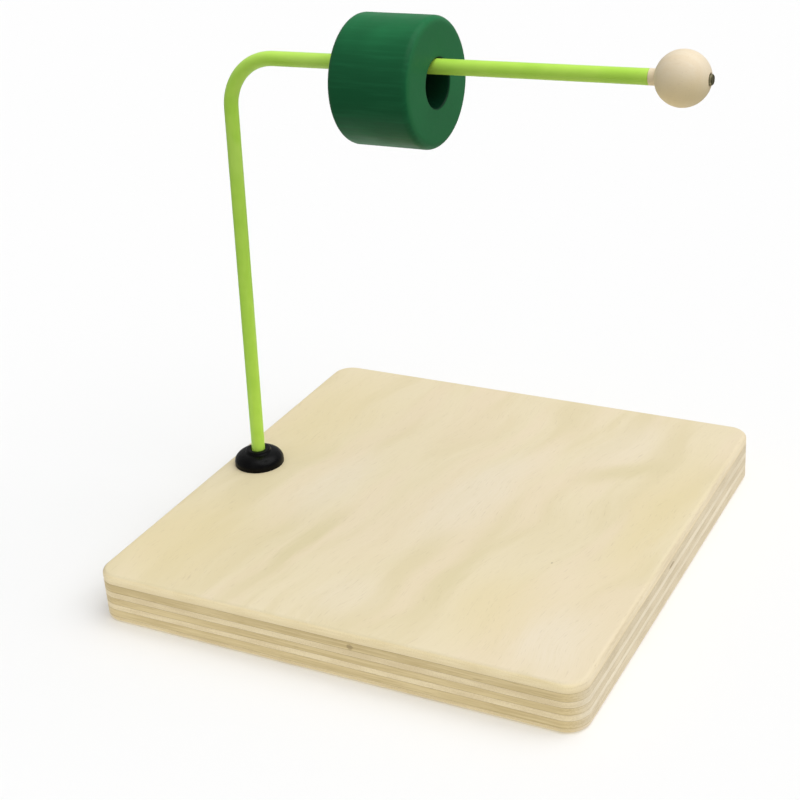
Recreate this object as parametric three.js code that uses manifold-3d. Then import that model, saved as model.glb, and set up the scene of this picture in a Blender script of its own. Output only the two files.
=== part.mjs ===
// A ring on a bent wire: a threading toy for small children. A square plywood board carries an upright
// coated wire that bends over into a level arm. A painted wooden ring hangs on the arm and slides along
// it, between the bend and a wooden ball that closes the arm's end.
//
// Millimetres, +Z up. The origin is the centre of the board's underside, +X runs along the arm.

import * as THREE from "three";
import { mergeVertices } from "three/addons/utils/BufferGeometryUtils.js";
import Module from "manifold-3d";

const wasm = await Module();
wasm.setup();

const degrees = THREE.MathUtils.degToRad;

// Board: seven plies, from the bottom face up.
const BOARD_SIDE = 140;
const BOARD_CORNER_RADIUS = 6;
const BOARD_ARRIS = 1.3;
const ARRIS_STEPS = 4;
const CORNER_STEPS = 8;
const PLIES = [
  { name: "ply_1_bottom_face", thickness: 1.7, grain: "face" },
  { name: "ply_2_crossband", thickness: 2.2, grain: "cross" },
  { name: "ply_3_core", thickness: 1.7, grain: "core" },
  { name: "ply_4_crossband", thickness: 2.0, grain: "cross" },
  { name: "ply_5_core", thickness: 1.8, grain: "core" },
  { name: "ply_6_crossband", thickness: 2.4, grain: "cross" },
  { name: "ply_7_top_face", thickness: 2.7, grain: "face" },
];
const BOARD_THICKNESS = PLIES.reduce((sum, ply) => sum + ply.thickness, 0);

// Wire: a steel core in a plastic coating. Its run is given as a bender would: straights and turns.
const WIRE_FOOT_X = -60.2;
const WIRE_FOOT_Z = 2;
const CORE_RADIUS = 1.3;
const COATING_BORE_RADIUS = 1.4;
const COATING_RADIUS = 2;
const FOOT_RUN = 13.5;
const LEAN = degrees(2.2);
const LEAN_TURN_RADIUS = 60;
const LEAN_TURN_STEPS = 2;
const UPRIGHT_RUN = 105.85;
const BEND_RADIUS = 15;
const BEND_STEPS = 16;
const ARM_PITCH = degrees(0.8);
const ARM_RUN = 118.4;
const COATED_ARM_RUN = 103.1;
const WIRE_SIDES = 24;

// The blind hole that holds the wire's foot, and the black cap over its mouth.
const WIRE_HOLE_RADIUS = 2.3;
const CAP_RADIUS = 7.35;
const CAP_SIDE_HEIGHT = 0.9;
const CAP_SHOULDER_HEIGHT = 3.9;
const CAP_HEIGHT = 4.75;
const CAP_LIP_RADIUS = 3.6;
const CAP_HOLE_RADIUS = 2.15;
const CAP_HOLE_FUNNEL = 0.6;
const CAP_LIP_STEP = 0.1;
const CAP_LIP_TOP_WIDTH = 0.6;
const CAP_SHOULDER_STEPS = 10;

// Ring, hanging on the arm with the top of its hole close over the wire.
const RING_RADIUS = 16.7;
const RING_HOLE_RADIUS = 6.25;
const RING_LENGTH = 23;
const RING_EDGE_ROUND = 2;
const RING_HOLE_ROUND = 0.5;
const RING_ALONG_ARM = 36.5;
const RING_DROP = 4.15;
const RING_TURN = degrees(-2);
const RING_EDGE_STEPS = 5;
const RING_HOLE_ROUND_STEPS = 2;

// Ball with a short neck, pushed on the bare end of the core.
const BALL_RADIUS = 6.75;
const BALL_ALONG_ARM = 111.2;
const BALL_BORE_RADIUS = 1.4;
const NECK_RADIUS = 2;
const NECK_END_GAP = 0.1;
const BALL_STEPS = 20;

const TURNED_SIDES = 48;
const RING_SIDES = 72;

// Corners of a mesh closer together than this are one corner.
const SAME_POINT = 1e-4;

const FINISH = {
  face: { color: 0xe8d8b4, roughness: 0.62 },
  core: { color: 0xdcc7a0, roughness: 0.7 },
  cross: { color: 0xc4b284, roughness: 0.75 },
  steel: { color: 0x8c8a80, roughness: 0.35, metalness: 1 },
  coating: { color: 0x9bc850, roughness: 0.4 },
  cap: { color: 0x161618, roughness: 0.55 },
  ring: { color: 0x1f6a44, roughness: 0.42 },
  ball: { color: 0xdcc8a6, roughness: 0.6 },
};

function part(name, geometry, finish) {
  const mesh = new THREE.Mesh(geometry, new THREE.MeshStandardMaterial(FINISH[finish]));
  mesh.name = name;
  return mesh;
}

function toSolid(geometry) {
  const bare = geometry.clone();
  bare.deleteAttribute("normal");
  bare.deleteAttribute("uv");
  const merged = mergeVertices(bare, SAME_POINT);
  const vertProperties = merged.attributes.position.array;
  const triVerts = new Uint32Array(merged.index.array);
  return new wasm.Manifold(new wasm.Mesh({ numProp: 3, vertProperties, triVerts }));
}

function toGeometry(solid) {
  const { vertProperties, triVerts } = solid.getMesh();
  const geometry = new THREE.BufferGeometry();
  geometry.setAttribute("position", new THREE.BufferAttribute(vertProperties, 3));
  geometry.setIndex(new THREE.BufferAttribute(triVerts, 1));
  geometry.computeVertexNormals();
  return geometry;
}

// Points on an arc in the plane of a profile, both ends included.
function arcPoints(x, y, radius, from, to, steps) {
  return Array.from({ length: steps + 1 }, (_, i) => {
    const angle = from + ((to - from) * i) / steps;
    return new THREE.Vector2(x + radius * Math.cos(angle), y + radius * Math.sin(angle));
  });
}

// ---- Board ----

function boardOutline() {
  const half = BOARD_SIDE / 2;
  const r = BOARD_CORNER_RADIUS;
  const shape = new THREE.Shape();
  shape.moveTo(half, r - half);
  shape.absarc(half - r, half - r, r, 0, Math.PI / 2);
  shape.absarc(r - half, half - r, r, Math.PI / 2, Math.PI);
  shape.absarc(r - half, r - half, r, Math.PI, 1.5 * Math.PI);
  shape.absarc(half - r, r - half, r, 1.5 * Math.PI, 2 * Math.PI);
  return shape;
}

// The whole board as one block, with its top and bottom arrises rounded all round.
function boardBlock() {
  const block = new THREE.ExtrudeGeometry(boardOutline(), {
    depth: BOARD_THICKNESS - 2 * BOARD_ARRIS,
    curveSegments: CORNER_STEPS,
    bevelThickness: BOARD_ARRIS,
    bevelSize: BOARD_ARRIS,
    bevelOffset: -BOARD_ARRIS,
    bevelSegments: ARRIS_STEPS,
  });
  return toSolid(block.translate(0, 0, BOARD_ARRIS));
}

// A layer's share of the board: everything between its two glue lines.
function layerSlab(low, high) {
  const slab = new THREE.BoxGeometry(2 * BOARD_SIDE, 2 * BOARD_SIDE, high - low);
  return toSolid(slab.translate(0, 0, (low + high) / 2));
}

// The hole for the wire's foot is blind: it stops on top of the bottom face ply.
function wireHole() {
  const depth = BOARD_THICKNESS - PLIES[0].thickness;
  const drill = new THREE.CylinderGeometry(WIRE_HOLE_RADIUS, WIRE_HOLE_RADIUS, 2 * depth, WIRE_SIDES);
  drill.rotateX(Math.PI / 2);
  return toSolid(drill.translate(WIRE_FOOT_X, 0, PLIES[0].thickness + depth));
}

function board() {
  const group = new THREE.Group();
  const block = boardBlock();
  const hole = wireHole();
  let low = 0;
  for (const [index, ply] of PLIES.entries()) {
    const high = index === PLIES.length - 1 ? BOARD_THICKNESS : low + ply.thickness;
    const layer = block.intersect(layerSlab(low, high)).subtract(hole);
    group.add(part(ply.name, toGeometry(layer), ply.grain));
    low = high;
  }
  return group;
}

// ---- Wire ----

// The wire's centre line in the plane y = 0, as stations. Its heading is the angle from +Z towards +X.
class WireRun {
  constructor(x, z) {
    this.x = x;
    this.z = z;
    this.heading = 0;
    this.stations = [];
    this.mark();
  }

  mark() {
    const point = new THREE.Vector3(this.x, 0, this.z);
    const tangent = new THREE.Vector3(Math.sin(this.heading), 0, Math.cos(this.heading));
    this.stations.push({ point, tangent });
  }

  straight(length) {
    this.x += length * Math.sin(this.heading);
    this.z += length * Math.cos(this.heading);
    this.mark();
    return this;
  }

  turn(radius, angle, steps) {
    const centreX = this.x + radius * Math.cos(this.heading);
    const centreZ = this.z - radius * Math.sin(this.heading);
    for (let i = 0; i < steps; i++) {
      this.heading += angle / steps;
      this.x = centreX - radius * Math.cos(this.heading);
      this.z = centreZ + radius * Math.sin(this.heading);
      this.mark();
    }
    return this;
  }
}

// A curve whose parameter takes one equal step from each station to the next, so that an extrusion
// spends its steps on the turns and crosses a straight in one.
class StationCurve extends THREE.Curve {
  constructor(stations) {
    super();
    this.stations = stations;
    this.steps = stations.length - 1;
  }

  getPoint(t, target = new THREE.Vector3()) {
    const along = t * this.steps;
    const index = Math.min(Math.floor(along), this.steps - 1);
    const [from, to] = this.stations.slice(index, index + 2);
    return target.lerpVectors(from.point, to.point, along - index);
  }

  getPointAt(u, target) {
    return this.getPoint(u, target);
  }

  getTangentAt(u, target = new THREE.Vector3()) {
    return target.copy(this.stations[Math.round(u * this.steps)].tangent);
  }
}

// The run up to the start of the arm, which the coating and the core share.
function runToArm() {
  return new WireRun(WIRE_FOOT_X, WIRE_FOOT_Z)
    .straight(FOOT_RUN)
    .turn(LEAN_TURN_RADIUS, LEAN, LEAN_TURN_STEPS)
    .straight(UPRIGHT_RUN)
    .turn(BEND_RADIUS, Math.PI / 2 - LEAN - ARM_PITCH, BEND_STEPS);
}

function disc(radius) {
  return new THREE.Shape().absarc(0, 0, radius, 0, 2 * Math.PI);
}

function alongRun(section, run) {
  const path = new StationCurve(run.stations);
  // an arc takes two sides for each of its curveSegments
  return new THREE.ExtrudeGeometry(section, {
    steps: path.steps,
    curveSegments: WIRE_SIDES / 2,
    extrudePath: path,
  });
}

function wire() {
  const group = new THREE.Group();
  const coatingSection = disc(COATING_RADIUS);
  coatingSection.holes.push(disc(COATING_BORE_RADIUS));
  const coating = alongRun(coatingSection, runToArm().straight(COATED_ARM_RUN));
  const core = alongRun(disc(CORE_RADIUS), runToArm().straight(ARM_RUN));
  group.add(part("wire_core", core, "steel"));
  group.add(part("wire_coating", coating, "coating"));
  return group;
}

// ---- Turned pieces: profiles are (radius, height) pairs, turned round the piece's own axis ----

function baseCap() {
  const shoulder = new THREE.EllipseCurve(
    CAP_LIP_RADIUS,
    CAP_SIDE_HEIGHT,
    CAP_RADIUS - CAP_LIP_RADIUS,
    CAP_SHOULDER_HEIGHT - CAP_SIDE_HEIGHT,
    0,
    Math.PI / 2,
  );
  const lipTop = (CAP_LIP_RADIUS + CAP_HOLE_RADIUS) / 2;
  const profile = [
    new THREE.Vector2(CAP_HOLE_RADIUS, 0),
    new THREE.Vector2(CAP_RADIUS, 0),
    ...shoulder.getPoints(CAP_SHOULDER_STEPS).slice(0, -1),
    new THREE.Vector2(CAP_LIP_RADIUS, CAP_SHOULDER_HEIGHT + CAP_LIP_STEP),
    new THREE.Vector2(lipTop + CAP_LIP_TOP_WIDTH / 2, CAP_HEIGHT),
    new THREE.Vector2(lipTop - CAP_LIP_TOP_WIDTH / 2, CAP_HEIGHT),
    new THREE.Vector2(CAP_HOLE_RADIUS, CAP_HEIGHT - CAP_HOLE_FUNNEL),
    new THREE.Vector2(CAP_HOLE_RADIUS, 0),
  ];
  const cap = part("base_cap", new THREE.LatheGeometry(profile, TURNED_SIDES), "cap");
  cap.rotation.x = Math.PI / 2;
  cap.position.set(WIRE_FOOT_X, 0, BOARD_THICKNESS);
  return cap;
}

function ring() {
  const end = RING_LENGTH / 2;
  const outer = RING_RADIUS - RING_EDGE_ROUND;
  const inner = RING_HOLE_RADIUS + RING_HOLE_ROUND;
  const edge = end - RING_EDGE_ROUND;
  const mouth = end - RING_HOLE_ROUND;
  const quarter = Math.PI / 2;
  const profile = [
    ...arcPoints(outer, -edge, RING_EDGE_ROUND, -quarter, 0, RING_EDGE_STEPS),
    ...arcPoints(outer, edge, RING_EDGE_ROUND, 0, quarter, RING_EDGE_STEPS),
    ...arcPoints(inner, mouth, RING_HOLE_ROUND, quarter, 2 * quarter, RING_HOLE_ROUND_STEPS),
    ...arcPoints(inner, -mouth, RING_HOLE_ROUND, 2 * quarter, 3 * quarter, RING_HOLE_ROUND_STEPS),
  ];
  profile.push(profile[0]);
  const mesh = part("ring", new THREE.LatheGeometry(profile, RING_SIDES), "ring");
  mesh.rotation.z = RING_TURN - Math.PI / 2;
  mesh.position.set(RING_ALONG_ARM, 0, -RING_DROP);
  return mesh;
}

function endBall() {
  const neckEnd = COATED_ARM_RUN + NECK_END_GAP - BALL_ALONG_ARM;
  const neckAngle = Math.asin(NECK_RADIUS / BALL_RADIUS);
  const boreAngle = Math.asin(BALL_BORE_RADIUS / BALL_RADIUS);
  const profile = [
    new THREE.Vector2(BALL_BORE_RADIUS, neckEnd),
    new THREE.Vector2(NECK_RADIUS, neckEnd),
    ...arcPoints(0, 0, BALL_RADIUS, neckAngle - Math.PI / 2, Math.PI / 2 - boreAngle, BALL_STEPS),
    new THREE.Vector2(BALL_BORE_RADIUS, neckEnd),
  ];
  const mesh = part("end_ball", new THREE.LatheGeometry(profile, TURNED_SIDES), "ball");
  mesh.rotation.z = -Math.PI / 2;
  mesh.position.set(BALL_ALONG_ARM, 0, 0);
  return mesh;
}

// What sits on the arm is placed in the arm's own frame: its start, with +X along it.
function armPieces() {
  const { point } = runToArm().stations.at(-1);
  const arm = new THREE.Group();
  arm.position.copy(point);
  arm.rotation.y = -ARM_PITCH;
  arm.add(ring(), endBall());
  return arm;
}

const toy = new THREE.Group();
toy.add(board(), wire(), baseCap(), armPieces());

export default toy;
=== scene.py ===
"""Looks of a threading toy: a painted wooden ring that slides on a coated, bent wire over a plywood board.

Metres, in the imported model's frame: +Z up, the origin at the centre of the board's underside, +X along
the arm. Each CAD node is replaced by a finer piece of the same size. Materials count in millimetres.
"""

import math

import bmesh
import bpy
from mathutils import Matrix, Vector, noise


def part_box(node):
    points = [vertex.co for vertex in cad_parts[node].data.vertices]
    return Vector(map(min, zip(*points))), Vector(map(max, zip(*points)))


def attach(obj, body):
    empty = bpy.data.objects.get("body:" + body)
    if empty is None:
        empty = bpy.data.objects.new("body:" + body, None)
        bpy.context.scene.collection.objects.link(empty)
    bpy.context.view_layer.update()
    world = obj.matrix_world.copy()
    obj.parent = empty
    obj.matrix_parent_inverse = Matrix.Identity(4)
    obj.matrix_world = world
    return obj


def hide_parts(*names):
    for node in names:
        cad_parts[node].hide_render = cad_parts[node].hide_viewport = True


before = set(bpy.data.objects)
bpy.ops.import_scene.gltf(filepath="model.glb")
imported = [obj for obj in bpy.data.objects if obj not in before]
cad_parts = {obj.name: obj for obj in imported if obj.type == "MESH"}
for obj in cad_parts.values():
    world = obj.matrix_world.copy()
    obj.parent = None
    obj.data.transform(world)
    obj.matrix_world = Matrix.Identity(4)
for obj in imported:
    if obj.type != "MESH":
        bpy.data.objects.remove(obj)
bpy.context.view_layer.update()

MM = 0.001

# Camera: it looks at CAMERA_TARGET from a distance, turned a little about its own line of sight.
CAMERA_AZIMUTH = math.radians(28.712)
CAMERA_ELEVATION = math.radians(25.945)
CAMERA_ROLL = math.radians(-4.097)
CAMERA_TARGET = Vector((0.005742, -0.030123, 0.060))
CAMERA_DISTANCE = 0.4114
CAMERA_LENS_MM = 72.41
CAMERA_SENSOR_MM = 36
CAMERA_CLIP_START = 10 * MM

# Board: its plies from the bottom up, the tiny groove that sanding leaves along each glue line, and a
# narrow flat band inside each arris that keeps its shading clean.
PLIES = (
    "ply_1_bottom_face",
    "ply_2_crossband",
    "ply_3_core",
    "ply_4_crossband",
    "ply_5_core",
    "ply_6_crossband",
    "ply_7_top_face",
)
BOARD_CORNER_RADIUS = 6 * MM
BOARD_ARRIS = 1.3 * MM
FLAT_BAND = 0.25 * MM
WIRE_HOLE_RADIUS = 2.3 * MM
GLUE_GROOVE = 0.05 * MM
GLUE_LINE_WAVE = 0.14 * MM
GLUE_LINE_WAVE_LENGTH = 22 * MM
GLUE_LINE_NOISE_STEP = 10
ARRIS_STEPS = 8
CORNER_STEPS = 20
SIDE_STEPS = 64
HOLE_SIDES = 48

# Wire: the same run as the CAD wire, as straights and turns.
FOOT_RUN = 13.5 * MM
LEAN = math.radians(2.2)
LEAN_TURN_RADIUS = 60 * MM
UPRIGHT_RUN = 105.85 * MM
BEND_RADIUS = 15 * MM
ARM_PITCH = math.radians(0.8)
COATED_ARM_RUN = 103.1 * MM
ARM_RUN = 118.4 * MM
COATING_RADIUS = 2 * MM
COATING_BORE_RADIUS = 1.4 * MM
COATING_END_ROUND = 0.2 * MM
CORE_RADIUS = 1.3 * MM
CORE_END_CHAMFER = 0.2 * MM
WIRE_SIDES = 40
STRAIGHT_STEP = 2.5 * MM
LEAN_TURN_STEPS = 4
BEND_STEPS = 32
COATING_UNEVENNESS = 0.035 * MM
COATING_UNEVENNESS_LENGTH = 9 * MM

# Cap, turned about the wire's foot.
CAP_RADIUS = 7.35 * MM
CAP_HOLE_RADIUS = 2.15 * MM
CAP_SIDE_HEIGHT = 0.9 * MM
CAP_SHOULDER_HEIGHT = 3.9 * MM
CAP_LIP_RADIUS = 3.6 * MM
CAP_LIP_ROUND = 0.35 * MM
CAP_RIM_ROUND = 0.15 * MM

# Ring and ball, turned about the arm's direction.
RING_RADIUS = 16.7 * MM
RING_LENGTH = 23 * MM
RING_HOLE_RADIUS = 6.25 * MM
RING_EDGE_ROUND = 2 * MM
RING_HOLE_ROUND = 0.5 * MM
RING_TURN = math.radians(-2)
RING_UNEVENNESS = 0.07 * MM
RING_UNEVENNESS_LENGTH = 11 * MM
BALL_RADIUS = 6.75 * MM
BALL_ALONG_ARM = 111.2 * MM
BALL_BORE_RADIUS = 1.4 * MM
BALL_BORE_ROUND = 0.25 * MM
NECK_RADIUS = 2 * MM
NECK_END_GAP = 0.1 * MM
TURNED_SIDES = 128
TURNED_STEP = 1 * MM
ROUND_STEPS = 8
SMALL_ROUND_STEPS = 4
CAP_SHOULDER_STEPS = 16
BALL_STEPS = 48
CAP_TURNED_STEP = 0.5 * MM

# An uneven surface stands in by this share of its unevenness on average, give or take the second share.
UNEVEN_MEAN = 0.7
UNEVEN_SWING = 0.3

SHARP_ANGLE = math.radians(38)

# Colours, linear.
FACE_PALE = (0.795, 0.695, 0.485)
FACE_ROSY = (0.81, 0.69, 0.50)
FACE_OLIVE = (0.745, 0.645, 0.42)
FACE_YELLOW = (0.77, 0.655, 0.385)
FACE_DARK_OLIVE = (0.70, 0.61, 0.37)
FACE_LILAC = (0.815, 0.72, 0.56)
# A veneer's edge: its (pale, deep) tones where the fibres run along the edge, and where they end in it.
# The top veneer's edge tones are paler than its wood. They are partly the veneer's own tone and partly a
# painted highlight on the top arris, strongest on the front and back.
TOP_EDGE_WITH_PAINTED_HIGHLIGHT = {
    "long": ((0.78, 0.67, 0.465), (0.67, 0.56, 0.375)),
    "end": ((0.965, 0.83, 0.53), (0.88, 0.735, 0.43)),
}
BOTTOM_EDGE = {
    "long": ((0.75, 0.65, 0.49), (0.66, 0.55, 0.40)),
    "end": ((0.75, 0.61, 0.34), (0.64, 0.50, 0.26)),
}
CORE_EDGE = {
    "long": ((0.74, 0.65, 0.48), (0.64, 0.55, 0.39)),
    "end": ((0.83, 0.70, 0.44), (0.71, 0.575, 0.34)),
}
CROSSBAND_EDGE = {
    "long": ((0.72, 0.58, 0.31), (0.58, 0.45, 0.22)),
    "end": ((0.67, 0.57, 0.39), (0.55, 0.455, 0.295)),
}
FACE_EDGE_DEEP = (0.73, 0.59, 0.34)
PORE_BROWN = (0.30, 0.19, 0.085)
KNOT_BROWN = (0.19, 0.12, 0.05)
GLUE_BROWN = (0.48, 0.375, 0.20)
GLUE_PALE = (0.57, 0.46, 0.26)
COATING_GREEN = (0.54, 0.88, 0.105)
COATING_SHADE = (0.49, 0.84, 0.085)
COATING_STRESSED = (0.60, 0.90, 0.16)
PAINT_GREEN = (0.014, 0.185, 0.062)
PAINT_SHADE = (0.011, 0.155, 0.051)
# Painted shade: a darker green for the ring barrel's -y side.
RING_PAINTED_SHADE = (0.008, 0.098, 0.034)
PAINT_THIN = (0.026, 0.23, 0.088)
PAINT_END_GRAIN = (0.024, 0.158, 0.056)
# Painted shade: a near-black green for the ring's bore.
RING_BORE_PAINTED_SHADE = (0.003, 0.032, 0.014)
CAP_BLACK = (0.0015, 0.0015, 0.0017)
CAP_DUSTY = (0.006, 0.006, 0.0063)
BALL_PALE = (0.88, 0.76, 0.57)
BALL_DEEP = (0.86, 0.72, 0.51)
# Painted bounce light: a lighter, warmer tone for the ball's lower half.
BALL_PAINTED_BOUNCE_LIGHT = (0.98, 0.80, 0.46)
STEEL = (0.31, 0.29, 0.19)
STEEL_CUT = (0.13, 0.12, 0.055)
STEEL_RUST = (0.075, 0.06, 0.02)
FLOOR_WHITE = (0.90, 0.90, 0.90)

# Each seed moves a noise this far, in its own units.
SEED_STEP = (7.31, 3.77, 5.19)

# How strongly the dark vessel lines show.
VESSELS_ON_EDGE = 0.3
VESSELS_ON_FACE = 0.16
PORES_ON_BALL = 0.12

# Specular levels. The paint and the cap are dull, as in the photo.
WOOD_SPECULAR = 0.3
BALL_SPECULAR = 0.35
COATING_SPECULAR = 0.35
PAINT_SPECULAR = 0.1
CAP_SPECULAR = 0.1

# Marks in the wood, in millimetres in the board's frame: centre and half sizes.
FACE_PIN_MARK = ((42.9, -21.6, 14.5), (0.35, 0.55, 0.6))
EDGE_KNOT = ((8.3, -70, 10.35), (1.15, 1.2, 1.0))
EDGE_STREAK = ((70, -4.8, 10.15), (1.2, 2.6, 0.42))

# The top's figure, in millimetres: centre, half width and length, lean (x over y), colour and strength.
FACE_FIGURE = (
    ((-56, -46), (27, 36), 0.0, FACE_YELLOW, 0.75),
    ((-58, 32), (26, 46), 0.1, FACE_YELLOW, 0.6),
    ((-12, 44), (16, 26), 0.1, FACE_ROSY, 0.5),
    ((-8, -22), (15, 30), 0.15, FACE_ROSY, 0.6),
    ((-31, -4), (10, 27), 0.05, FACE_LILAC, 0.7),
    ((10, 6), (13, 42), 0.2, FACE_LILAC, 0.75),
    ((0, -54), (12, 16), 0.0, FACE_LILAC, 0.5),
    ((38, 46), (14, 24), 0.2, FACE_LILAC, 0.5),
    ((58, -55), (15, 20), 0.1, FACE_LILAC, 0.8),
    ((35, -8), (13, 22), 0.1, FACE_OLIVE, 0.45),
    ((60, 10), (12, 52), 0.05, FACE_YELLOW, 0.7),
    ((38, -46), (17, 24), 0.1, FACE_YELLOW, 0.55),
    ((-25, -38), (4.5, 32), 0.13, FACE_DARK_OLIVE, 0.85),
    ((20.5, -38), (4.5, 26), 0.15, FACE_DARK_OLIVE, 0.7),
    ((44, 31), (9, 14), 0.8, FACE_DARK_OLIVE, 0.7),
)

# The face veneers' grain, in millimetres: its lean (x over y), how far it wanders and how ragged the
# patches' edges are.
FACE_LEAN = 0.14
FACE_WANDER = 14
PATCH_RAGGEDNESS = 9

# The heights between which a face veneer's edge turns into its face, and how far from there it grows
# deeper towards the glue line, in millimetres.
# TOP_TURN keeps the pale edge tone, and with it the painted highlight, over most of the top arris.
TOP_TURN = (13.9, 14.48)
BOTTOM_TURN = (0.4, -0.1)
FACE_EDGE_DEEPENING = (0.2, 2.1)

# Over this many millimetres each way, the fibres turn from along the edge to out of it at a corner.
CORNER_BLEND = 5

# The ball's lower half, made lighter and warmer as painted bounce light, in millimetres: half the height
# of the change, and how ragged it is.
BALL_PAINTED_LIGHT_HEIGHT = 4.5
BALL_PAINTED_LIGHT_RAGGEDNESS = 6

# The ring's paint, in millimetres: how far in from its outer edges it is thin, and the span across the
# ring (y) over which the barrel turns from its painted shade, a darker green on its -y side, with how
# ragged that is.
PAINT_THIN_WIDTH = 1.5
RING_PAINTED_SHADE_SPAN = (-15, -3)
RING_PAINTED_SHADE_RAGGEDNESS = 6

# The coating is stressed outside the wire's axis at the bend, and this fades with the distance from the
# bend's centre, in millimetres.
STRESS_DEPTH = (0.4, 2.0)
STRESS_FADE = (20, 28)

# Light: a very large soft box overhead in a dim studio. It fades in between two angles from its axis.
# The camera sees a white studio. The floor throws light back at the toy, mostly from close to it, but a
# little less from right beside the board. Its reaches are in millimetres and its half side in metres.
STUDIO_SEEN = 0.99
STUDIO_DIM = 0.48
SOFT_BOX_AXIS = Vector((0.45, 0.05, 1)).normalized()
SOFT_BOX_STRENGTH = 2.78
SOFT_BOX_EDGE = math.cos(math.radians(45))
SOFT_BOX_CORE = math.cos(math.radians(15))
FLOOR_BOUNCE_NEAR = 1.6
FLOOR_BOUNCE_FAR = 0.35
FLOOR_BOUNCE_REACH = (90, 130)
FLOOR_CONTACT = 0.75
FLOOR_CONTACT_REACH = (70, 80)
FLOOR_HALF = 40


# ---- Shader graphs ----


class Shader:
    """A material's node tree. Each method adds nodes and returns the socket that carries the result."""

    def __init__(self, name):
        self.material = bpy.data.materials.new(name)
        self.material.use_nodes = True
        self.tree = self.material.node_tree
        self.tree.nodes.clear()

    def add(self, kind, inputs, output=0, **settings):
        """Adds a node. Each input is a socket to link or a value to set."""
        node = self.tree.nodes.new(kind)
        for key, value in settings.items():
            setattr(node, key, value)
        for key, value in inputs.items():
            if isinstance(value, bpy.types.NodeSocket):
                self.tree.links.new(value, node.inputs[key])
            else:
                node.inputs[key].default_value = value
        return node.outputs[output]

    def position(self):
        """The piece's own coordinates, in millimetres."""
        place = self.add("ShaderNodeTexCoord", {}, "Object")
        return self.add("ShaderNodeVectorMath", {0: place, "Scale": 1 / MM}, operation="SCALE")

    def vector(self, operation, a, b, output=0):
        return self.add("ShaderNodeVectorMath", {0: a, 1: b}, output, operation=operation)

    def math(self, operation, a, b=0.0, c=0.0):
        return self.add("ShaderNodeMath", {0: a, 1: b, 2: c}, operation=operation)

    def times(self, a, b):
        return self.math("MULTIPLY", a, b)

    def shifted(self, base, ripple, amount):
        """base, pushed up and down by a noise, ripple, that is made amount high in all."""
        return self.math("MULTIPLY_ADD", self.math("SUBTRACT", ripple, 0.5), amount, base)

    def split(self, vector):
        node = self.tree.nodes.new("ShaderNodeSeparateXYZ")
        self.tree.links.new(vector, node.inputs[0])
        return node.outputs

    def join(self, x, y, z):
        return self.add("ShaderNodeCombineXYZ", {0: x, 1: y, 2: z})

    def noise(self, place, sizes, seed=0, detail=2.0, roughness=0.5):
        """Noise from 0 to 1, whose features are about as large as sizes, in millimetres."""
        scaled = self.vector("DIVIDE", place, sizes)
        moved = self.vector("ADD", scaled, tuple(seed * step for step in SEED_STEP))
        inputs = {"Vector": moved, "Scale": 1.0, "Detail": detail, "Roughness": roughness}
        return self.add("ShaderNodeTexNoise", inputs, "Fac")

    def level(self, value, low, high, to_low=0.0, to_high=1.0):
        """value's range from low to high, spread smoothly over to_low to to_high."""
        inputs = {0: value, 1: low, 2: high, 3: to_low, 4: to_high}
        return self.add("ShaderNodeMapRange", inputs, interpolation_type="SMOOTHSTEP")

    def mix(self, factor, a, b):
        """The colour a where factor is 0 and b where it is 1."""
        colours = {0: factor, 6: self.opaque(a), 7: self.opaque(b)}
        return self.add("ShaderNodeMix", colours, 2, data_type="RGBA")

    def opaque(self, colour):
        """A colour socket as it is, or a colour with its alpha."""
        return colour if isinstance(colour, bpy.types.NodeSocket) else (*colour, 1.0)

    def blob(self, place, mark, warp=0.0):
        """1 at the centre of a mark, 0 outside its half sizes, with a ragged edge if warp is given."""
        centre, half = mark
        offset = self.vector("DIVIDE", self.vector("SUBTRACT", place, centre), half)
        distance = self.vector("LENGTH", offset, (0, 0, 0), "Value")
        ragged = self.noise(place, (0.7, 0.7, 0.5), seed=9)
        pushed = self.math("MULTIPLY_ADD", ragged, warp, self.math("SUBTRACT", distance, warp / 2))
        return self.level(pushed, 0.55, 1.0, 1.0, 0.0)

    def bump(self, height, depth, normal=None):
        """A bump map whose height of 1 stands depth millimetres proud, over another bump map if given."""
        inputs = {"Height": height, "Strength": 1.0, "Distance": depth * MM}
        if normal is not None:
            inputs["Normal"] = normal
        return self.add("ShaderNodeBump", inputs)

    def finish(self, colour, roughness, normal=None, specular=0.5, metallic=0.0):
        """Ends the graph in a Principled shader and returns the material."""
        inputs = {
            "Base Color": self.opaque(colour),
            "Roughness": roughness,
            "Specular IOR Level": specular,
            "Metallic": metallic,
        }
        if normal is not None:
            inputs["Normal"] = normal
        self.add_output(self.add("ShaderNodeBsdfPrincipled", inputs))
        return self.material

    def add_output(self, surface):
        node = self.tree.nodes.new("ShaderNodeOutputMaterial")
        self.tree.links.new(surface, node.inputs["Surface"])


# ---- Wood ----


def grain_sizes(grain, along, across, depth):
    """Feature sizes for a veneer whose fibres run along x or y."""
    return (along, across, depth) if grain == "x" else (across, along, depth)


def fibres(s, place, grain, seed):
    """Fine fibres, and the short dark vessel lines among them."""
    fine = s.noise(place, grain_sizes(grain, 9, 0.35, 0.3), seed, detail=3, roughness=0.6)
    vessels = s.noise(place, grain_sizes(grain, 3.5, 0.22, 0.2), seed + 1, detail=1)
    return fine, s.level(vessels, 0.64, 0.76)


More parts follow.
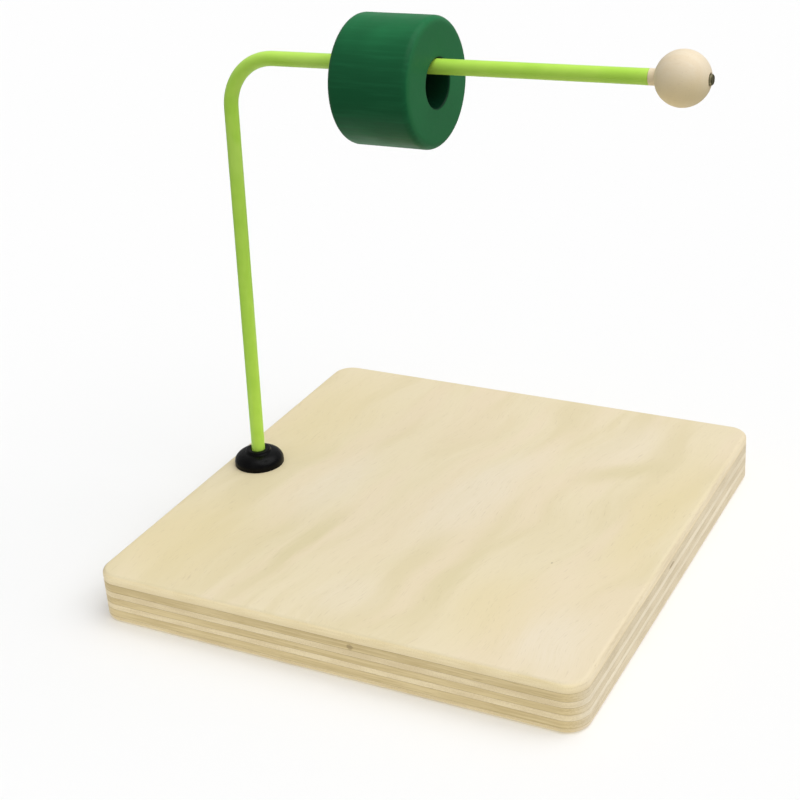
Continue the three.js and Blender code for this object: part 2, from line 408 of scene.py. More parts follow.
def edge_colour(s, place, tones, grain, seed, fine):
    """A veneer's edge: thin growth layers and fibres, in other tones where the fibres end in the edge."""
    x, y, z = s.split(place)
    layers = s.noise(place, grain_sizes(grain, 34, 9, 0.5), seed, detail=2)
    patches = s.noise(place, grain_sizes(grain, 26, 12, 6), seed + 2, detail=1)
    tone = s.math("MULTIPLY_ADD", layers, 0.5, s.times(patches, 0.5))
    depth = s.level(s.shifted(tone, fine, 0.55), 0.32, 0.68)
    towards_x = s.math("SUBTRACT", s.math("ABSOLUTE", x), s.math("ABSOLUTE", y))
    on_x_side = s.level(towards_x, -CORNER_BLEND, CORNER_BLEND)
    y_side, x_side = ("long", "end") if grain == "x" else ("end", "long")
    colours = [s.mix(depth, tones[side][1], tones[side][0]) for side in (y_side, x_side)]
    return s.mix(on_x_side, *colours)


def marked(s, place, colour, marks, raggedness):
    """The colour with dark marks on it. Each is a (mark, strength) pair."""
    for mark, strength in marks:
        spot = s.blob(place, mark, raggedness)
        colour = s.mix(s.times(spot, strength), colour, KNOT_BROWN)
    return colour


def veneer(name, tones, grain, seed, marks=()):
    """A veneer seen on its edge, with dark marks if it has any."""
    s = Shader(name)
    place = s.position()
    fine, vessels = fibres(s, place, grain, seed + 3)
    colour = edge_colour(s, place, tones, grain, seed, fine)
    colour = s.mix(s.times(vessels, VESSELS_ON_EDGE), colour, PORE_BROWN)
    colour = marked(s, place, colour, marks, raggedness=0.8)
    roughness = s.level(fine, 0.3, 0.7, 0.7, 0.56)
    relief = s.bump(s.math("SUBTRACT", fine, vessels), depth=0.02)
    return s.finish(colour, roughness, relief, specular=WOOD_SPECULAR)


def streaked(s, flow, feather, seed):
    """A face veneer's broad feathered streaks of olive and pale wood, with rosy ones over them."""
    streaks = s.shifted(s.noise(flow, (9, 48, 8), seed + 1, detail=1.5), feather, 0.35)
    colour = s.mix(s.level(streaks, 0.34, 0.62), FACE_OLIVE, FACE_PALE)
    rosy = s.noise(flow, (15, 70, 10), seed + 4, detail=1)
    return s.mix(s.level(rosy, 0.5, 0.66, 0, 0.7), colour, FACE_ROSY)


def figured(s, place, colour, ragged, patches):
    """The colour with long soft patches over it, their edges pushed aside by ragged millimetres."""
    x, y, z = s.split(place)
    for (centre_x, centre_y), (half_width, half_length), lean, tone, strength in patches:
        along = s.math("SUBTRACT", y, centre_y)
        pushed = s.math("MULTIPLY_ADD", along, -lean, ragged)
        across = s.math("ADD", s.math("SUBTRACT", x, centre_x), pushed)
        scaled = s.vector("DIVIDE", s.join(across, along, 0.0), (half_width, half_length, 1))
        distance = s.vector("LENGTH", scaled, (0, 0, 0), "Value")
        colour = s.mix(s.level(distance, 0.15, 1.05, strength, 0), colour, tone)
    return colour


def face_edge(s, place, tones, seed, fine, turn_height):
    """A face veneer's edge, which is deeper towards its glue line, away from where it turns into the face."""
    x, y, z = s.split(place)
    edge = edge_colour(s, place, tones, "y", seed, fine)
    from_turn = s.math("ABSOLUTE", s.math("SUBTRACT", z, turn_height))
    return s.mix(s.level(from_turn, *FACE_EDGE_DEEPENING, 0, 0.5), edge, FACE_EDGE_DEEP)


def board_face(name, edge_tones, seed, turn, marks=(), patches=()):
    """A face veneer: streaks and patches over fine fibres. Its edge turns into its face between the two
    heights of turn."""
    s = Shader(name)
    place = s.position()
    x, y, z = s.split(place)
    drift = s.math("SUBTRACT", s.noise(place, (46, 34, 60), seed, detail=1), 0.5)
    leaning = s.math("MULTIPLY_ADD", y, -FACE_LEAN, x)
    flow = s.join(s.math("MULTIPLY_ADD", drift, FACE_WANDER, leaning), y, z)
    feather = s.noise(flow, (3.2, 21, 3), seed + 2, detail=3, roughness=0.6)
    fine, vessels = fibres(s, flow, "y", seed + 3)
    ragged = s.shifted(s.times(drift, FACE_WANDER), feather, PATCH_RAGGEDNESS)
    colour = figured(s, place, streaked(s, flow, feather, seed), ragged, patches)
    colour = s.mix(s.level(fine, 0.35, 0.62, 0.22, 0), colour, FACE_OLIVE)
    edge = face_edge(s, place, edge_tones, seed + 6, fine, turn[0])
    colour = s.mix(s.level(z, *turn), edge, colour)
    colour = s.mix(s.times(vessels, VESSELS_ON_FACE), colour, PORE_BROWN)
    colour = marked(s, place, colour, marks, raggedness=0.5)
    roughness = s.level(feather, 0.35, 0.65, 0.62, 0.52)
    relief = s.bump(s.math("SUBTRACT", fine, vessels), depth=0.012)
    return s.finish(colour, roughness, relief, specular=WOOD_SPECULAR)


def glue_line():
    """Dried glue in the groove between two plies."""
    s = Shader("glue_line")
    spread = s.noise(s.position(), (3, 3, 3), seed=5)
    return s.finish(s.mix(spread, GLUE_BROWN, GLUE_PALE), s.level(spread, 0.4, 0.6, 0.7, 0.5))


def ball_wood():
    """Turned wood, its grain along the ball's bore: growth bands, fibres, fine turning marks and a lower half
    made lighter and warmer by painted bounce light."""
    s = Shader("turned_light_wood")
    place = s.position()
    x, y, z = s.split(place)
    bands = s.noise(place, (30, 1.7, 4.5), seed=21, detail=2)
    fine = s.noise(place, (6, 0.28, 0.28), seed=22, detail=3, roughness=0.6)
    pores = s.level(s.noise(place, (1.6, 0.2, 0.2), seed=23, detail=1), 0.62, 0.76)
    turning = s.noise(place, (0.35, 40, 40), seed=24, detail=1)
    drift = s.noise(place, (12, 12, 12), seed=25, detail=1)
    colour = s.mix(s.level(s.shifted(bands, fine, 0.5), 0.3, 0.62), BALL_DEEP, BALL_PALE)
    # Painted bounce light: the lower half is made lighter and warmer.
    height = s.shifted(z, drift, BALL_PAINTED_LIGHT_RAGGEDNESS)
    painted_bounce_light = s.level(height, -BALL_PAINTED_LIGHT_HEIGHT, BALL_PAINTED_LIGHT_HEIGHT, 1, 0)
    colour = s.mix(painted_bounce_light, colour, BALL_PAINTED_BOUNCE_LIGHT)
    colour = s.mix(s.times(pores, PORES_ON_BALL), colour, PORE_BROWN)
    roughness = s.level(fine, 0.3, 0.7, 0.58, 0.46)
    relief = s.bump(s.math("MULTIPLY_ADD", turning, 0.6, s.math("SUBTRACT", fine, pores)), depth=0.012)
    return s.finish(colour, roughness, relief, specular=BALL_SPECULAR)


# ---- Paint, plastic and metal ----


def radius_from_axis(s, place):
    """The distance from the x axis, in millimetres."""
    x, y, z = s.split(place)
    return s.vector("LENGTH", s.join(0.0, y, z), (0, 0, 0), "Value")


def paint_colour(s, place, grain, film, cloud):
    """The ring's paint: thin on its outer edges and duller on the end grain. Painted shade makes it a darker
    green on the barrel's -y side and nearly black in the bore."""
    half_length = RING_LENGTH / 2 / MM
    barrel_radius = RING_RADIUS / MM
    bore_radius = RING_HOLE_RADIUS / MM
    x, y, z = s.split(place)
    from_middle = s.math("ABSOLUTE", x)
    radius = radius_from_axis(s, place)
    colour = s.mix(s.level(cloud, 0.35, 0.65), PAINT_SHADE, PAINT_GREEN)
    end_edge = s.level(from_middle, half_length - PAINT_THIN_WIDTH, half_length)
    rim = s.level(radius, barrel_radius - PAINT_THIN_WIDTH, barrel_radius - 0.2)
    thin = s.times(s.times(end_edge, rim), s.level(film, 0.4, 0.65))
    colour = s.mix(s.times(thin, 0.5), colour, PAINT_THIN)
    barrel = s.level(radius, barrel_radius - 2, barrel_radius - 0.3)
    # Painted shade: the barrel turns a darker green towards its -y side.
    barrel_painted_shade = s.level(s.shifted(y, cloud, RING_PAINTED_SHADE_RAGGEDNESS), *RING_PAINTED_SHADE_SPAN, 0.9, 0)
    colour = s.mix(s.times(barrel, barrel_painted_shade), colour, RING_PAINTED_SHADE)
    colour = s.mix(s.level(grain, 0.40, 0.72, 0, 0.16), colour, PAINT_THIN)
    end_face = s.level(from_middle, half_length - 0.6, half_length - 0.1, 0, 0.85)
    colour = s.mix(end_face, colour, PAINT_END_GRAIN)
    # Painted shade: the bore is made nearly black.
    bore_painted_shade = s.level(radius, bore_radius + 0.05, bore_radius + 0.6, 1, 0)
    return s.mix(bore_painted_shade, colour, RING_BORE_PAINTED_SHADE)


def painted_wood():
    """Satin paint over turned wood, whose grain and turning marks show through."""
    s = Shader("satin_green_paint")
    place = s.position()
    x, y, z = s.split(place)
    grain = s.noise(place, (16, 0.9, 0.9), seed=31, detail=3, roughness=0.6)
    around = s.join(x, radius_from_axis(s, place), 0.0)
    turning = s.noise(around, (0.5, 0.5, 1), seed=32, detail=2)
    film = s.noise(place, (5, 5, 5), seed=33, detail=2)
    cloud = s.noise(place, (11, 11, 11), seed=34, detail=1)
    sheen = s.math("MULTIPLY_ADD", grain, 0.5, s.times(film, 0.5))
    roughness = s.level(sheen, 0.35, 0.65, 0.34, 0.46)
    relief = s.bump(film, depth=0.05)
    relief = s.bump(s.math("MULTIPLY_ADD", turning, 0.5, grain), depth=0.018, normal=relief)
    colour = paint_colour(s, place, grain, film, cloud)
    return s.finish(colour, roughness, relief, specular=PAINT_SPECULAR)


def wire_coating():
    """Smooth extruded plastic: faint cloudiness, shallow ripples, fine scuffs and a paler, stressed bend."""
    s = Shader("lime_green_coating")
    place = s.position()
    cloud = s.noise(place, (7, 3, 7), seed=41, detail=2)
    ripple = s.noise(place, (2.2, 1.6, 2.2), seed=42, detail=1)
    scuffs = s.noise(place, (0.5, 0.35, 0.5), seed=43, detail=3, roughness=0.7)
    scuffs = s.level(scuffs, 0.6, 0.75)
    from_centre = s.vector("DISTANCE", place, tuple(bend_centre() / MM), "Value")
    outside = s.level(s.math("SUBTRACT", from_centre, BEND_RADIUS / MM), *STRESS_DEPTH)
    near_bend = s.level(from_centre, *STRESS_FADE, 1, 0)
    stressed = s.times(s.times(outside, near_bend), 0.5)
    colour = s.mix(s.level(cloud, 0.35, 0.65), COATING_SHADE, COATING_GREEN)
    colour = s.mix(stressed, colour, COATING_STRESSED)
    colour = s.mix(s.times(scuffs, 0.15), colour, COATING_STRESSED)
    roughness = s.math("MULTIPLY_ADD", scuffs, 0.2, s.level(cloud, 0.3, 0.7, 0.30, 0.40))
    relief = s.bump(scuffs, depth=0.004, normal=s.bump(ripple, depth=0.03))
    return s.finish(colour, roughness, relief, specular=COATING_SPECULAR)


def cap_plastic():
    """Satin moulded plastic with a spark-eroded texture and a little dust on it."""
    s = Shader("satin_black_plastic")
    place = s.position()
    texture = s.noise(place, (0.28, 0.28, 0.28), seed=51, detail=2, roughness=0.6)
    cloud = s.noise(place, (2.5, 2.5, 2.5), seed=52, detail=2)
    dust = s.level(s.noise(place, (0.2, 0.2, 0.2), seed=53, detail=1), 0.64, 0.74)
    colour = s.mix(s.level(cloud, 0.4, 0.7, 0, 0.35), CAP_BLACK, CAP_DUSTY)
    colour = s.mix(s.times(dust, 0.5), colour, CAP_DUSTY)
    roughness = s.math("MULTIPLY_ADD", texture, 0.10, s.level(cloud, 0.3, 0.7, 0.20, 0.30))
    return s.finish(colour, roughness, s.bump(texture, depth=0.012), specular=CAP_SPECULAR)


def drawn_steel():
    """The wire's side: fine drawing lines and a little rust."""
    s = Shader("drawn_steel")
    place = s.position()
    draw_lines = s.noise(place, (12, 0.12, 0.12), seed=61, detail=2)
    rust = s.level(s.noise(place, (0.8, 0.5, 0.8), seed=62, detail=3), 0.55, 0.7)
    colour = s.mix(s.times(rust, 0.5), STEEL, STEEL_RUST)
    roughness = s.math("MULTIPLY_ADD", rust, 0.2, s.level(draw_lines, 0.3, 0.7, 0.28, 0.42))
    return s.finish(colour, roughness, s.bump(draw_lines, depth=0.006), metallic=1.0)


def sheared_steel():
    """The wire's cut end: half sheared smooth, half torn, a little rusty."""
    s = Shader("sheared_steel")
    place = s.position()
    tear = s.noise(place, (0.25, 0.18, 0.5), seed=71, detail=3, roughness=0.7)
    rust = s.level(s.noise(place, (0.5, 0.5, 0.5), seed=72, detail=2), 0.45, 0.65)
    colour = s.mix(rust, STEEL_CUT, STEEL_RUST)
    roughness = s.level(tear, 0.3, 0.7, 0.35, 0.6)
    return s.finish(colour, roughness, s.bump(tear, depth=0.06), metallic=0.7)


def floor_surface():
    """Matt white to the camera. The light it gives the toy is set apart from that, by distance."""
    s = Shader("plain_floor")
    white = s.add("ShaderNodeBsdfDiffuse", {"Color": (*FLOOR_WHITE, 1)})
    x, y, z = s.split(s.position())
    distance = s.math("MAXIMUM", s.math("ABSOLUTE", x), s.math("ABSOLUTE", y))
    contact = s.level(distance, *FLOOR_CONTACT_REACH, FLOOR_CONTACT, 1)
    bounce = s.level(distance, *FLOOR_BOUNCE_REACH, FLOOR_BOUNCE_NEAR, FLOOR_BOUNCE_FAR)
    strength = s.times(bounce, contact)
    glow = s.add("ShaderNodeEmission", {"Color": (*FLOOR_WHITE, 1), "Strength": strength})
    seen = s.add("ShaderNodeLightPath", {}, "Is Camera Ray")
    s.add_output(s.add("ShaderNodeMixShader", {0: seen, 1: glow, 2: white}))
    s.material.cycles.emission_sampling = "NONE"
    return s.material


# ---- Mesh building: pieces are walls between loops of points ----


def add_wall(bm, loops, closed=False):
    """Quads between each loop and the next, and back to the first if closed. Returns vertices and faces."""
    rings = [[bm.verts.new(point) for point in loop] for loop in loops]
    following = rings[1:] + ([rings[0]] if closed else [])
    strips = []
    for low, high in zip(rings, following):
        count = len(low)
        quads = [(low[i], low[(i + 1) % count], high[(i + 1) % count], high[i]) for i in range(count)]
        strips.append([bm.faces.new(quad) for quad in quads])
    return rings, strips


def fill_between(bm, *rims):
    """Fills the flat area inside the first rim and outside any others."""
    edges = [bm.edges.get((rim[i - 1], rim[i])) for rim in rims for i in range(len(rim))]
    bmesh.ops.triangle_fill(bm, use_beauty=True, edges=edges)


def make_piece(name, bm, materials, placement=None):
    """Turns the bmesh into an object in the scene, smooth but for its sharp edges."""
    bmesh.ops.recalc_face_normals(bm, faces=bm.faces)
    mesh = bpy.data.meshes.new(name)
    bm.to_mesh(mesh)
    bm.free()
    mesh.shade_smooth()
    mesh.set_sharp_from_angle(angle=SHARP_ANGLE)
    for material in materials:
        mesh.materials.append(material)
    piece = bpy.data.objects.new(name, mesh)
    bpy.context.scene.collection.objects.link(piece)
    if placement is not None:
        piece.matrix_world = placement
    return piece


def stand_for(piece, body, node):
    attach(piece, body)
    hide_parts(node)


def arc(x, y, radius, start, end, steps=ROUND_STEPS):
    """Points on an arc, both ends included."""
    angles = [start + (end - start) * i / steps for i in range(steps + 1)]
    return [(x + radius * math.cos(a), y + radius * math.sin(a)) for a in angles]


def finely(profile, step=TURNED_STEP):
    """The closed profile with no side longer than step."""
    points = []
    for (x0, y0), (x1, y1) in zip(profile, profile[1:] + profile[:1]):
        parts = max(1, math.ceil(math.hypot(x1 - x0, y1 - y0) / step))
        points += [(x0 + (x1 - x0) * i / parts, y0 + (y1 - y0) * i / parts) for i in range(parts)]
    return points


def turned(profile, sides=TURNED_SIDES):
    """Loops about the x axis, one for each (distance along x, radius) pair."""
    circle = [(math.cos(math.tau * i / sides), math.sin(math.tau * i / sides)) for i in range(sides)]
    return [[Vector((along, radius * y, radius * z)) for y, z in circle] for along, radius in profile]


def along_arm(distance, turn=0.0):
    """The placement on the arm of a piece that is made about the x axis."""
    point, heading = arm_start()
    slope = Matrix.Rotation(heading - math.pi / 2, 4, "Y")
    run = Matrix.Translation((distance, 0, 0))
    return Matrix.Translation(point) @ slope @ run @ Matrix.Rotation(turn, 4, "Z")


# ---- Board ----


def board_outline(half, radius, z):
    """A square with round corners, anticlockwise, with points along its sides too."""
    points = []
    reach = half - radius
    for quarter in range(4):
        turn = Matrix.Rotation(quarter * math.pi / 2, 3, "Z")
        side = [Vector((half, -reach + 2 * reach * i / SIDE_STEPS, z)) for i in range(SIDE_STEPS)]
        corner = arc(reach, reach, radius, 0, math.pi / 2, CORNER_STEPS)[:-1]
        points += [turn @ p for p in side + [Vector((x, y, z)) for x, y in corner]]
    return points


def waved(points, glue_line_index):
    """A glue line isn't quite straight: its points rise and fall a little along the board's edge, and no two
    lines do so alike."""
    offset = Vector((0, 0, GLUE_LINE_NOISE_STEP * glue_line_index))
    result = []
    for p in points:
        rise = noise.noise(p / GLUE_LINE_WAVE_LENGTH + offset) * GLUE_LINE_WAVE
        result.append(p + Vector((0, 0, rise)))
    return result


def ply_rows(index, low, high):
    """(inset, height, glue line) for each loop of a ply's edge, from the bottom up. The face plies carry the
    board's rounded arrises, which have no glue line."""
    flat = BOARD_ARRIS + FLAT_BAND
    quarter = math.pi / 2
    if index == 0:
        rounded = arc(0, 0, BOARD_ARRIS, -quarter, 0, ARRIS_STEPS)
        rows = [(flat, low, None)]
        rows += [(BOARD_ARRIS - x, low + BOARD_ARRIS + z, None) for x, z in rounded]
    else:
        rows = [(GLUE_GROOVE, low, index), (0, low + GLUE_GROOVE, index)]
    if index == len(PLIES) - 1:
        rounded = arc(0, 0, BOARD_ARRIS, 0, quarter, ARRIS_STEPS)
        rows += [(BOARD_ARRIS - x, high - BOARD_ARRIS + z, None) for x, z in rounded]
        rows += [(flat, high, None)]
    else:
        rows += [(0, high - GLUE_GROOVE, index + 1), (GLUE_GROOVE, high, index + 1)]
    return rows


def ply_loops(index, low, high, half):
    """A ply's outer wall from the bottom up, on a board that reaches half its side from the middle."""
    loops = []
    for inset, z, glue_line_index in ply_rows(index, low, high):
        points = board_outline(half - inset, BOARD_CORNER_RADIUS - inset, z)
        loops.append(points if glue_line_index is None else waved(points, glue_line_index))
    return loops


def hole_loop(centre_x, z):
    """The rim of the wire's hole at height z."""
    circle = arc(0, 0, WIRE_HOLE_RADIUS, 0, math.tau, HOLE_SIDES)[:-1]
    return [Vector((centre_x + x, y, z)) for x, y in circle]


def build_ply(index, wood, glue):
    """One ply. All but the lowest have the wire's hole, and glue shows where two plies meet."""
    node = PLIES[index]
    low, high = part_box(node)
    bm = bmesh.new()
    rings, strips = add_wall(bm, ply_loops(index, low.z, high.z, high.x))
    bottom_rims, top_rims = [rings[0]], [rings[-1]]
    glued = []
    if index > 0:
        hole_x = wire_foot().x
        hole_rings, _ = add_wall(bm, [hole_loop(hole_x, low.z), hole_loop(hole_x, high.z)])
        bottom_rims.append(hole_rings[0])
        top_rims.append(hole_rings[1])
        glued += strips[0]
    if index < len(PLIES) - 1:
        glued += strips[-1]
    for face in glued:
        face.material_index = 1
    fill_between(bm, *bottom_rims)
    fill_between(bm, *top_rims)
    piece = make_piece(f"board_{node}", bm, [wood, glue])
    kind = node.split("_")[-1]
    stand_for(piece, "stand", node)


def build_board():
    """The seven plies from the bottom up, each of its own wood."""
    glue = glue_line()
    knots = [(EDGE_KNOT, 0.45), (EDGE_STREAK, 0.6)]
    pin_mark = [(FACE_PIN_MARK, 0.35)]
    woods = (
        board_face("bottom_face_veneer", BOTTOM_EDGE, 3, BOTTOM_TURN),
        veneer("crossband_veneer_2", CROSSBAND_EDGE, "x", 12),
        veneer("core_veneer_3", CORE_EDGE, "y", 13),
        veneer("crossband_veneer_4", CROSSBAND_EDGE, "x", 14),
        veneer("core_veneer_5", CORE_EDGE, "y", 15),
        veneer("crossband_veneer_6", CROSSBAND_EDGE, "x", 16, knots),
        board_face("top_face_veneer", TOP_EDGE_WITH_PAINTED_HIGHLIGHT, 7, TOP_TURN, pin_mark, FACE_FIGURE),
    )
    for index, wood in enumerate(woods):
        build_ply(index, wood, glue)


# ---- Wire ----


def ahead(heading):
    """The direction along the wire."""
    return Vector((math.sin(heading), 0, math.cos(heading)))


def inward(heading):
    """The direction across the wire, towards the inside of its turns."""
    return Vector((math.cos(heading), 0, -math.sin(heading)))


class WireRun:
    """The wire's centre line in the plane y = 0. Its heading is the angle from +Z towards +X."""

    def __init__(self, start):
        self.point = start.copy()
        self.heading = 0.0
        self.stations = [(self.point.copy(), self.heading)]

    def straight(self, length):
        """Runs straight on."""
        steps = math.ceil(length / STRAIGHT_STEP)
        for _ in range(steps):
            self.point += ahead(self.heading) * (length / steps)
            self.stations.append((self.point.copy(), self.heading))

    def turn(self, radius, angle, steps):
        """Turns over towards +X."""
        centre = self.point + radius * inward(self.heading)
        for _ in range(steps):
            self.heading += angle / steps
            self.point = centre - radius * inward(self.heading)
            self.stations.append((self.point.copy(), self.heading))


def wire_foot():
    """The foot of the wire's centre line, in its hole."""
    low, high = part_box("wire_coating")
    return Vector((low.x + COATING_RADIUS, 0, low.z))


def run_to_arm():
    """The wire's run from its foot to the end of its bend."""
    run = WireRun(wire_foot())
    run.straight(FOOT_RUN)
    run.turn(LEAN_TURN_RADIUS, LEAN, LEAN_TURN_STEPS)
    run.straight(UPRIGHT_RUN)
    run.turn(BEND_RADIUS, math.pi / 2 - LEAN - ARM_PITCH, BEND_STEPS)
    return run


def arm_start():
    """The station where the bend ends and the arm starts."""
    return run_to_arm().stations[-1]


def wire_stations(arm_length):
    """All the stations of the wire, each a (point, heading) pair, with that length of arm."""
    run = run_to_arm()
    run.straight(arm_length)
    return run.stations


def bend_centre():
    """The centre of the bend at the top of the upright."""
    point, heading = arm_start()
    return point + BEND_RADIUS * inward(heading)


def section(station, radius, shift=0.0):
    """A circle across the wire at a station, moved shift along it."""
    point, heading = station
    centre = point + ahead(heading) * shift
    across = inward(heading)
    turns = [math.tau * i / WIRE_SIDES for i in range(WIRE_SIDES)]
    return [centre + radius * (across * math.cos(t) + Vector((0, math.sin(t), 0))) for t in turns]


def uneven(points, centre, amount, length):
    """The points drawn in towards centre by up to amount, unevenly."""
    result = []
    for p in points:
        depth = amount * (UNEVEN_MEAN + UNEVEN_SWING * noise.noise(p / length))
        result.append(p + (centre - p).normalized() * depth)
    return result


def build_coating():
    """The coating: its outside up to the rounded end on the arm, and back down its bore."""
    stations = wire_stations(COATED_ARM_RUN)
    loops = [
        uneven(section(station, COATING_RADIUS), station[0], COATING_UNEVENNESS, COATING_UNEVENNESS_LENGTH)
        for station in stations[:-1]
    ]
    round_radius = COATING_RADIUS - COATING_END_ROUND
    end_round = arc(-COATING_END_ROUND, round_radius, COATING_END_ROUND, math.pi / 2, 0, SMALL_ROUND_STEPS)
    loops += [section(stations[-1], radius, shift) for shift, radius in end_round]
    loops += [section(station, COATING_BORE_RADIUS) for station in reversed(stations)]
    bm = bmesh.new()
    add_wall(bm, loops, closed=True)
    piece = make_piece("green_wire_coating", bm, [wire_coating()])
    stand_for(piece, "stand", "wire_coating")


def build_core():
    """The steel wire, chamfered and sheared at the end that shows at the ball."""
    stations = wire_stations(ARM_RUN)
    end = stations[-1]
    loops = [section(station, CORE_RADIUS) for station in stations[:-1]]
    loops.append(section(end, CORE_RADIUS, -CORE_END_CHAMFER))
    loops.append(section(end, CORE_RADIUS - CORE_END_CHAMFER))
    bm = bmesh.new()
    rings, strips = add_wall(bm, loops)
    bm.faces.new(rings[0])
    bm.faces.new(rings[-1]).material_index = 1
    for face in strips[-1]:
        face.material_index = 1
    piece = make_piece("steel_wire", bm, [drawn_steel(), sheared_steel()])
    stand_for(piece, "stand", "wire_core")


# ---- Turned pieces ----


def build_cap():
    """The cap: a small round under its side, an elliptical shoulder and a lip round the wire."""
    low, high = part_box("base_cap")
    height = high.z - low.z
    quarter = math.pi / 2
    rim = CAP_RIM_ROUND
    shoulder_height = CAP_SHOULDER_HEIGHT - CAP_SIDE_HEIGHT
    shoulder_width = CAP_RADIUS - CAP_LIP_RADIUS
    shoulder = [
        (CAP_SIDE_HEIGHT + shoulder_height * up, CAP_LIP_RADIUS + shoulder_width * out)
        for out, up in arc(0, 0, 1, 0, quarter, CAP_SHOULDER_STEPS)
    ]
    lip_centre = height - CAP_LIP_ROUND
    profile = [(0, CAP_HOLE_RADIUS)]
    profile += arc(rim, CAP_RADIUS - rim, rim, -math.pi, -math.pi - quarter, SMALL_ROUND_STEPS)
    profile += shoulder[:-1]
    profile += arc(lip_centre, CAP_LIP_RADIUS - CAP_LIP_ROUND, CAP_LIP_ROUND, quarter, 0)
    profile += arc(lip_centre, CAP_HOLE_RADIUS + CAP_LIP_ROUND, CAP_LIP_ROUND, 0, -quarter)
    bm = bmesh.new()
    add_wall(bm, turned(finely(profile, CAP_TURNED_STEP)), closed=True)
    upright = Matrix.Translation((wire_foot().x, 0, low.z)) @ Matrix.Rotation(-quarter, 4, "Y")
    piece = make_piece("black_base_cap", bm, [cap_plastic()], upright)
    stand_for(piece, "stand", "base_cap")


def ring_profile():
    """The ring's closed profile: (distance along the axis, radius), with its rounded edges."""
    end = RING_LENGTH / 2
    quarter = math.pi / 2
    edge, mouth = end - RING_EDGE_ROUND, end - RING_HOLE_ROUND
    outer, inner = RING_RADIUS - RING_EDGE_ROUND, RING_HOLE_RADIUS + RING_HOLE_ROUND
    profile = arc(-edge, outer, RING_EDGE_ROUND, 2 * quarter, quarter)
    profile += arc(edge, outer, RING_EDGE_ROUND, quarter, 0)
    profile += arc(mouth, inner, RING_HOLE_ROUND, 0, -quarter, SMALL_ROUND_STEPS)
    profile += arc(-mouth, inner, RING_HOLE_ROUND, -quarter, -2 * quarter, SMALL_ROUND_STEPS)
    return finely(profile)


def build_ring():
    """The ring: uneven outside, but true in its bore and round the bore's mouths."""
    shrink = 1 - 2 * RING_EDGE_ROUND / RING_LENGTH
    loops = []
    for loop in turned(ring_profile()):
        if max(abs(p.y) for p in loop) > RING_HOLE_RADIUS + RING_HOLE_ROUND:
            centre = Vector((loop[0].x * shrink, 0, 0))
            loop = uneven(loop, centre, RING_UNEVENNESS, RING_UNEVENNESS_LENGTH)
        loops.append(loop)
    bm = bmesh.new()
    add_wall(bm, loops, closed=True)
    low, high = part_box("ring")
    slope = along_arm(0, RING_TURN).to_3x3().to_4x4()
    placement = Matrix.Translation((low + high) / 2) @ slope
    piece = make_piece("painted_wooden_ring", bm, [painted_wood()], placement)
    stand_for(piece, "ring", "ring")


def build_ball():
    """The ball and its short neck, with a bore for the wire."""
    neck_end = COATED_ARM_RUN + NECK_END_GAP - BALL_ALONG_ARM
    neck_angle = math.pi - math.asin(NECK_RADIUS / BALL_RADIUS)
    bore_angle = math.asin((BALL_BORE_RADIUS + BALL_BORE_ROUND) / BALL_RADIUS)
    pole = BALL_RADIUS * math.cos(bore_angle)
    profile = [(neck_end, BALL_BORE_RADIUS), (neck_end, NECK_RADIUS)]
    profile += arc(0, 0, BALL_RADIUS, neck_angle, bore_angle, BALL_STEPS)
    profile += [(pole - BALL_BORE_ROUND, BALL_BORE_RADIUS)]
    bm = bmesh.new()
    add_wall(bm, turned(finely(profile)), closed=True)
    piece = make_piece("wooden_end_ball", bm, [ball_wood()], along_arm(BALL_ALONG_ARM))
    stand_for(piece, "stand", "end_ball")


# ---- Studio ----


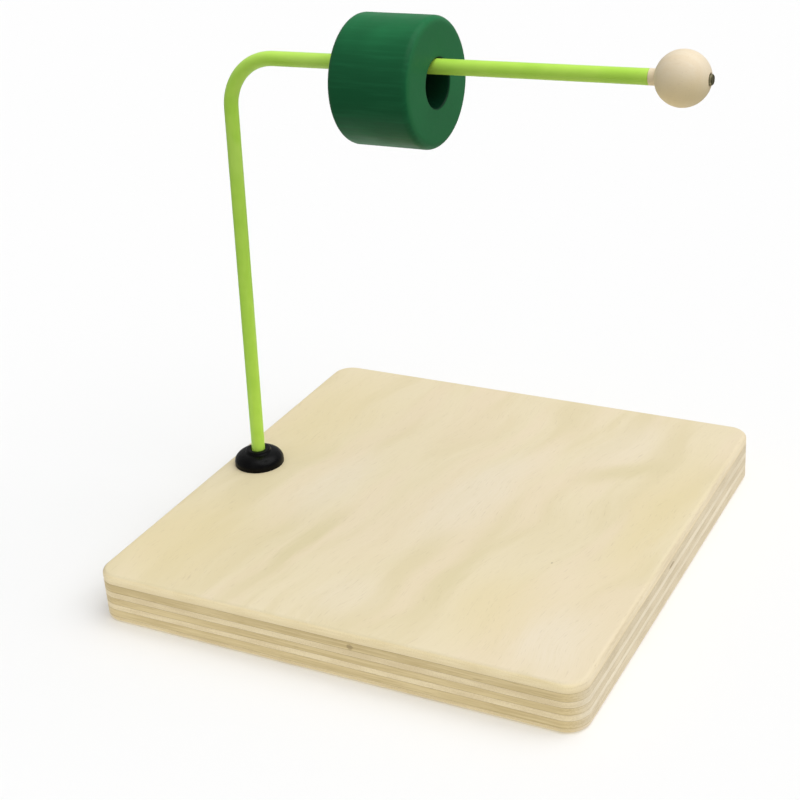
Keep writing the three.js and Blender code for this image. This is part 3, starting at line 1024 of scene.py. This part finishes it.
def add_camera():
    """The camera at the photo's viewing angle."""
    flat = math.cos(CAMERA_ELEVATION)
    across, along = math.sin(CAMERA_AZIMUTH) * flat, -math.cos(CAMERA_AZIMUTH) * flat
    back = Vector((across, along, math.sin(CAMERA_ELEVATION)))
    right = Vector((0, 0, 1)).cross(back).normalized()
    up = back.cross(right)
    rolled_right = right * math.cos(CAMERA_ROLL) + up * math.sin(CAMERA_ROLL)
    rolled_up = up * math.cos(CAMERA_ROLL) - right * math.sin(CAMERA_ROLL)
    turn = Matrix((rolled_right, rolled_up, back)).transposed().to_4x4()
    data = bpy.data.cameras.new("camera")
    data.sensor_width = CAMERA_SENSOR_MM
    data.lens = CAMERA_LENS_MM
    data.clip_start = CAMERA_CLIP_START
    data.clip_end = 2 * FLOOR_HALF
    camera = bpy.data.objects.new("camera", data)
    camera.matrix_world = Matrix.Translation(CAMERA_TARGET + back * CAMERA_DISTANCE) @ turn
    bpy.context.scene.collection.objects.link(camera)
    bpy.context.scene.camera = camera


def add_sky():
    """A dim studio with a large soft box overhead, which the camera sees as plain white."""
    world = bpy.data.worlds.new("studio")
    world.use_nodes = True
    tree = world.node_tree
    background = tree.nodes["Background"]
    background.inputs["Color"].default_value = (1, 1, 1, 1)
    direction = tree.nodes.new("ShaderNodeTexCoord").outputs["Generated"]
    toward = tree.nodes.new("ShaderNodeVectorMath")
    toward.operation = "DOT_PRODUCT"
    toward.inputs[1].default_value = SOFT_BOX_AXIS
    tree.links.new(direction, toward.inputs[0])
    glow = tree.nodes.new("ShaderNodeMapRange")
    glow.interpolation_type = "SMOOTHSTEP"
    levels = (SOFT_BOX_EDGE, SOFT_BOX_CORE, STUDIO_DIM, SOFT_BOX_STRENGTH)
    for index, value in enumerate(levels, 1):
        glow.inputs[index].default_value = value
    tree.links.new(toward.outputs["Value"], glow.inputs["Value"])
    seen = tree.nodes.new("ShaderNodeLightPath").outputs["Is Camera Ray"]
    strength = tree.nodes.new("ShaderNodeMix")
    strength.inputs["B"].default_value = STUDIO_SEEN
    tree.links.new(seen, strength.inputs["Factor"])
    tree.links.new(glow.outputs["Result"], strength.inputs["A"])
    tree.links.new(strength.outputs["Result"], background.inputs["Strength"])
    bpy.context.scene.world = world


def add_floor():
    """A plain square floor at the height of the board's underside."""
    bm = bmesh.new()
    corners = [(-1, -1), (1, -1), (1, 1), (-1, 1)]
    bm.faces.new([bm.verts.new((x * FLOOR_HALF, y * FLOOR_HALF, 0)) for x, y in corners])
    floor = make_piece("floor", bm, [floor_surface()])


def build_studio():
    """The camera, the light and the floor."""
    add_camera()
    add_sky()
    add_floor()
    bpy.context.scene.view_settings.view_transform = "Standard"


build_studio()
build_board()
build_core()
build_coating()
build_cap()
build_ring()
build_ball()
